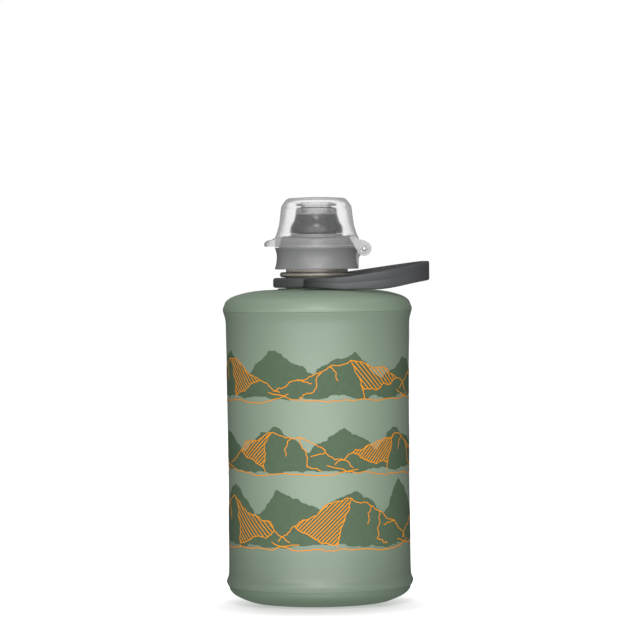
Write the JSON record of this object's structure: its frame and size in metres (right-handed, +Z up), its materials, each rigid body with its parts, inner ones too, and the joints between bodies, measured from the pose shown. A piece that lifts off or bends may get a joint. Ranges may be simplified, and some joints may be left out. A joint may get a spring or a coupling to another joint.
{
  "type": "folding water bottle",
  "caption": "Collapsible soft drinking bottle with a film sleeve, screw cap, hinged clear dust cover and a flip-over carry loop.",
  "frame": {"origin": "centre of the flat foot that the bottle stands on", "axes": "+Z up along the bottle's axis; +X from the axis towards the dust cover's hinge and the carry loop's tip; the picture was taken along +Y"},
  "size_m": [0.0843, 0.077, 0.1651],
  "materials": {
    "base_tpu": "satin moulded TPU",
    "film": "satin printed TPU film",
    "shoulder_tpu": "satin moulded TPU",
    "clear_neck": "smoky clear plastic",
    "strap": "satin soft plastic",
    "cap": "satin moulded plastic",
    "gasket": "matte silicone",
    "insert": "satin moulded plastic",
    "nozzle": "satin soft silicone",
    "valve": "matte silicone",
    "clear_cover": "polished clear plastic",
    "steel": "ground steel pin"
  },
  "bodies": {
    "base": {"base_cup": "base_tpu", "sleeve": "film"},
    "top": {"shoulder": "shoulder_tpu", "neck": "clear_neck"},
    "ring": {"strap_ring": "strap"},
    "bail": {"bail_loop": "strap"},
    "seal": {"cap_gasket": "gasket"},
    "cap": {"cap_shell": "cap"},
    "spout": {"spout_insert": "insert", "spout_seal": "gasket", "slit_valve": "valve", "spout_nozzle": "nozzle"},
    "cover": {"dust_cover": "clear_cover", "cover_hinge_pin": "steel"}
  },
  "joints": [
    {"name": "collapse", "type": "slide", "parent": "base", "child": "top", "axis": [0, 0, 1], "range_m": [-0.085, 0], "deforming": ["sleeve"]},
    {"name": "strap_swivel", "type": "hinge", "parent": "top", "child": "ring", "pos_m": [0, 0, 0.1303], "axis": [0, 0, 1], "continuous": true},
    {"name": "bail_flip", "type": "hinge", "parent": "ring", "child": "bail", "pos_m": [-0.0036, 0, 0.1301], "axis": [0, -1, 0], "range_deg": [0, 165]},
    {"name": "cap_lift", "type": "slide", "parent": "top", "child": "seal", "axis": [0, 0, 1], "range_m": [0, 0.0162]},
    {"name": "cap_turn", "type": "hinge", "parent": "seal", "child": "cap", "pos_m": [0, 0, 0.14], "axis": [0, 0, 1], "range_deg": [0, 1440]},
    {"name": "spout_twist", "type": "hinge", "parent": "cap", "child": "spout", "pos_m": [0, 0, 0.15], "axis": [0, 0, 1], "range_deg": [0, 90]},
    {"name": "cover_flip", "type": "hinge", "parent": "cap", "child": "cover", "pos_m": [0.01925, 0, 0.144], "axis": [0, 1, 0], "range_deg": [0, 115]}
  ],
  "couplings": [
    {"joint": "cap_lift", "follows": "cap_turn", "m_per_rad": 0.00063662}
  ]
}
